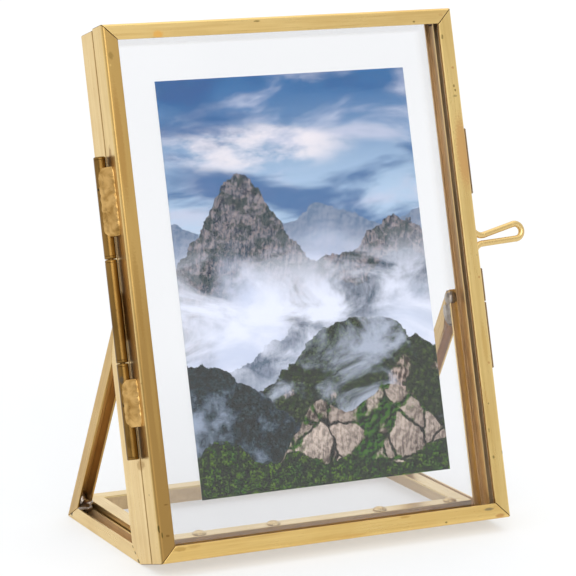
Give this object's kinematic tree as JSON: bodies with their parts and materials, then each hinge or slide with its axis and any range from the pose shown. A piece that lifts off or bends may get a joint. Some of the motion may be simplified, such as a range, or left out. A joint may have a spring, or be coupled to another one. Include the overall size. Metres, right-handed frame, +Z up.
{
  "type": "floating picture frame",
  "caption": "Glass and folded brass picture frame, hinged at the left, bolted at the right, leaning back on a channel stand with a low rectangular base.",
  "frame": {"origin": "middle of the space the closed frame takes up, at floor level", "axes": "+Z up, +Y away from the viewer, +X to the viewer's right"},
  "size_m": [0.1724, 0.0924, 0.1916],
  "materials": {
    "brass_bar": "brushed, lightly aged",
    "brass_tube": "satin, darkened",
    "brass_wire": "drawn wire",
    "solder": "rough cast",
    "glass": "clear",
    "print_paper": "satin photographic print"
  },
  "bodies": {
    "rear_frame": {"rear_top_bar": "brass_bar", "rear_bottom_bar": "brass_bar", "rear_left_bar": "brass_bar", "rear_right_bar": "brass_bar", "rear_glass": "glass", "print": "print_paper", "rear_corner_solder": "solder", "hinge_middle_knuckle": "brass_tube", "hinge_pin": "brass_wire", "hinge_middle_solder": "solder", "bolt_upper_guide": "brass_tube", "bolt_lower_guide": "brass_tube", "bolt_guide_solder": "solder", "left_upright": "brass_bar", "right_upright": "brass_bar", "left_leg": "brass_bar", "right_leg": "brass_bar", "left_foot_bar": "brass_bar", "right_foot_bar": "brass_bar", "base_front_bar": "brass_bar", "base_rear_bar": "brass_bar", "base_left_bar": "brass_bar", "base_right_bar": "brass_bar", "base_bead_solder": "solder", "stand_corner_solder": "solder"},
    "front_frame": {"front_top_bar": "brass_bar", "front_bottom_bar": "brass_bar", "front_left_bar": "brass_bar", "front_right_bar": "brass_bar", "front_glass": "glass", "front_corner_solder": "solder", "hinge_upper_knuckle": "brass_tube", "hinge_lower_knuckle": "brass_tube", "hinge_front_solder": "solder", "bolt_catch": "brass_tube", "bolt_catch_solder": "solder"},
    "bolt": {"bolt_wire": "brass_wire"}
  },
  "joints": [
    {"name": "front_hinge", "type": "hinge", "parent": "rear_frame", "child": "front_frame", "pos_m": [-0.08403, -0.03716, 0.00289], "axis": [0, -0.2605, -0.9655], "range_deg": [0, 170]},
    {"name": "bolt_slide", "type": "slide", "parent": "rear_frame", "child": "bolt", "axis": [0, 0.2605, 0.9655], "range_m": [-0.005, 0.011]}
  ]
}
